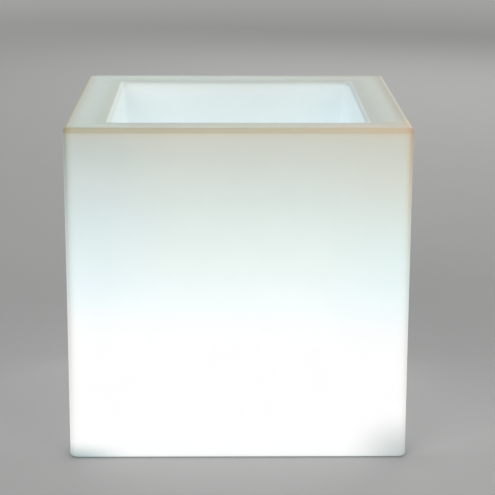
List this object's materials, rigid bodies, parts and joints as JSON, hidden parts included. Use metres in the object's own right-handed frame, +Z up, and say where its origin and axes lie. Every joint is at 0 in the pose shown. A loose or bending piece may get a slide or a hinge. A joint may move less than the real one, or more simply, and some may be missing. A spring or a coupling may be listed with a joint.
{
  "type": "glowing cube planter",
  "caption": "White plastic cube that glows from inside, with a deep square recess in its top and a battery lamp screwed into a round well in its base.",
  "frame": {"origin": "middle of the cube, on the surface that its rubber feet stand on", "axes": "+Z up, through the recess floor's middle; the front of the picture is -Y; +X is to the right of it"},
  "size_m": [0.4, 0.4, 0.399],
  "materials": {
    "shell_plastic": "translucent white polyethylene, satin, lit from inside",
    "foot_rubber": "matt black rubber",
    "insert_brass": "turned brass",
    "lamp_plastic": "white moulded plastic, fine spark texture",
    "seal_silicone": "grey silicone",
    "screw_steel": "stainless steel",
    "spring_steel": "bright spring wire",
    "lens_plastic": "frosted polycarbonate",
    "board_aluminium": "aluminium board with white solder mask",
    "led_package": "white LED package with a yellow window",
    "reflector_white": "white reflective sheet",
    "black_plastic": "black moulded plastic",
    "cell_wrap": "blue shrink sleeve",
    "nickel": "nickel plated",
    "board_laminate": "green solder mask",
    "component_black": "black component plastic",
    "header_white": "natural white nylon",
    "button_silicone": "grey silicone-skinned button",
    "pipe_plastic": "clear acrylic light pipe",
    "cover_rubber": "dark soft rubber",
    "wire_red": "red wire sleeve",
    "wire_white": "white wire sleeve"
  },
  "bodies": {
    "cube": {"cube_shell": "shell_plastic", "rubber_feet": "foot_rubber", "threaded_inserts": "insert_brass", "lamp_body": "lamp_plastic", "flange_gasket": "seal_silicone", "flange_screws": "screw_steel", "lens_dome": "lens_plastic", "lens_seal": "seal_silicone", "lens_screws": "screw_steel", "led_board": "board_aluminium", "leds": "led_package", "reflector": "reflector_white", "board_screws": "screw_steel", "battery_cradle": "black_plastic", "battery_cells": "cell_wrap", "cell_straps": "nickel", "battery_clamp": "black_plastic", "clamp_screws": "screw_steel", "control_board": "board_laminate", "control_screws": "screw_steel", "board_components": "component_black", "wire_headers": "header_white", "tact_switch": "component_black", "button_spring": "spring_steel", "button_seal": "seal_silicone", "indicator_lens": "pipe_plastic", "charge_jack": "component_black", "jack_pin": "insert_brass", "jack_nut": "nickel", "jack_washer": "seal_silicone", "cover_anchor": "cover_rubber", "jack_lead": "wire_red", "battery_lead": "wire_red", "led_lead": "wire_white"},
    "button": {"power_button": "button_silicone", "button_clip": "screw_steel", "switch_plunger": "header_white"},
    "cover": {"port_cover": "cover_rubber"}
  },
  "joints": [
    {"name": "button_press", "type": "slide", "parent": "cube", "child": "button", "axis": [0, 0, 1], "range_m": [0, 0.0012], "stiffness_N_per_m": 400, "springref_m": -0.002, "deforming": ["button_spring"]},
    {"name": "port_cover_swing", "type": "hinge", "parent": "cube", "child": "cover", "pos_m": [-0.024, -0.026, 0.0098], "axis": [1, 0, 0], "range_deg": [0, 150]}
  ]
}
